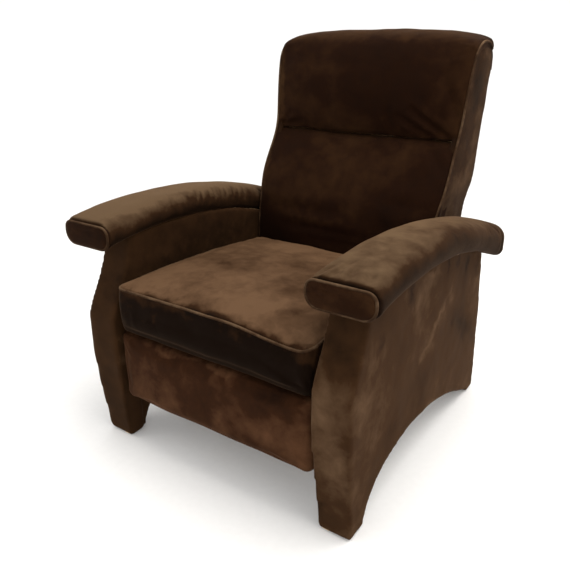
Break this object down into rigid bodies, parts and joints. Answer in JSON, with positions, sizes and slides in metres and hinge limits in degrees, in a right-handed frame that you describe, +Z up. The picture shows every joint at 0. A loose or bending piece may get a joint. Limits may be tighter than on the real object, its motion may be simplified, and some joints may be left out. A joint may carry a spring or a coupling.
{
  "type": "recliner armchair",
  "caption": "Push-back recliner armchair with padded sides on arched feet, arched arm pads, gliding seat, fold-out footrest and leaning two-part back.",
  "frame": {"origin": "on the floor, at the centre of the chair's bounding box", "axes": "+Z up, the sitter faces -Y, +X is the sitter's left"},
  "size_m": [0.87, 0.916, 1.04],
  "materials": {
    "velvet": "matte",
    "plywood": "matte",
    "beech": "matte",
    "steel": "satin",
    "zinc": "satin",
    "plastic": "matte",
    "felt": "matte"
  },
  "bodies": {
    "base": {"side_frame_left": "plywood", "side_frame_right": "plywood", "side_pad_outer_left": "velvet", "side_pad_outer_right": "velvet", "side_pad_inner_left": "velvet", "side_pad_inner_right": "velvet", "arm_board_left": "plywood", "arm_board_right": "plywood", "arm_pad_left": "velvet", "arm_pad_right": "velvet", "arm_front_left": "velvet", "arm_front_right": "velvet", "floor_glides": "plastic", "rear_stretcher": "beech", "cleat_left": "beech", "cleat_right": "beech", "base_plate_left": "steel", "base_plate_right": "steel", "cross_tubes": "steel", "base_bolts": "zinc", "glide_pins_lower": "zinc"},
    "front_glide": {"front_glide_links": "steel"},
    "rear_glide": {"rear_glide_links": "steel"},
    "seat": {"glide_pins_upper": "zinc", "seat_plate_left": "steel", "seat_plate_right": "steel", "seat_bolts": "zinc", "seat_rail_left": "beech", "seat_rail_right": "beech", "seat_rail_front": "beech", "seat_rail_rear": "beech", "seat_corner_blocks": "beech", "seat_springs": "steel", "seat_deck": "felt", "seat_cushion": "velvet", "footrest_pins": "zinc", "back_hinge_pins": "zinc"},
    "footrest_arm": {"footrest_arms": "steel", "knuckle_pins": "zinc"},
    "footrest_control": {"footrest_control_links": "steel"},
    "knuckle": {"knuckle_plates": "steel", "extension_pins": "zinc"},
    "extension": {"extension_links": "steel"},
    "footrest": {"footrest_brackets": "steel", "bracket_pins": "zinc", "footrest_board": "plywood", "footrest_pad": "velvet"},
    "back": {"back_brackets": "steel", "back_bolts": "zinc", "back_post_left": "beech", "back_post_right": "beech", "back_rails": "beech", "back_springs": "steel", "back_boxing_left": "velvet", "back_boxing_right": "velvet", "lumbar_pad": "velvet", "head_pad": "velvet", "outside_back": "velvet"}
  },
  "joints": [
    {"name": "seat_glide", "type": "hinge", "parent": "base", "child": "front_glide", "pos_m": [0, -0.2, 0.2], "axis": [1, 0, 0], "range_deg": [0, 35]},
    {"name": "rear_glide", "type": "hinge", "parent": "base", "child": "rear_glide", "pos_m": [0, 0.11, 0.2], "axis": [1, 0, 0], "range_deg": [0, 35]},
    {"name": "seat_level", "type": "hinge", "parent": "front_glide", "child": "seat", "pos_m": [0, -0.16993, 0.29537], "axis": [1, 0, 0], "range_deg": [-35, 0]},
    {"name": "footrest_lift", "type": "hinge", "parent": "seat", "child": "footrest_arm", "pos_m": [0, -0.32, 0.325], "axis": [-1, 0, 0], "range_deg": [0, 80]},
    {"name": "footrest_control", "type": "hinge", "parent": "seat", "child": "footrest_control", "pos_m": [0, -0.29, 0.299], "axis": [-1, 0, 0], "range_deg": [0, 80]},
    {"name": "knuckle_level", "type": "hinge", "parent": "footrest_arm", "child": "knuckle", "pos_m": [0, -0.32, 0.135], "axis": [-1, 0, 0], "range_deg": [-80, 0]},
    {"name": "extension_open", "type": "hinge", "parent": "knuckle", "child": "extension", "pos_m": [0, -0.34, 0.129], "axis": [-1, 0, 0], "range_deg": [-65, 0]},
    {"name": "footrest_turn", "type": "hinge", "parent": "extension", "child": "footrest", "pos_m": [0, -0.35612, 0.3133], "axis": [-1, 0, 0], "range_deg": [0, 145]},
    {"name": "back_recline", "type": "hinge", "parent": "seat", "child": "back", "pos_m": [0, 0.168, 0.34], "axis": [-1, 0, 0], "range_deg": [0, 30]}
  ],
  "couplings": [
    {"joint": "rear_glide", "follows": "seat_glide", "ratio": 1},
    {"joint": "seat_level", "follows": "seat_glide", "ratio": -1},
    {"joint": "footrest_lift", "follows": "seat_glide", "ratio": 2.2857},
    {"joint": "footrest_control", "follows": "seat_glide", "ratio": 2.2857},
    {"joint": "knuckle_level", "follows": "seat_glide", "ratio": -2.2857},
    {"joint": "extension_open", "follows": "seat_glide", "ratio": -1.8571},
    {"joint": "footrest_turn", "follows": "seat_glide", "ratio": 4.1429}
  ]
}
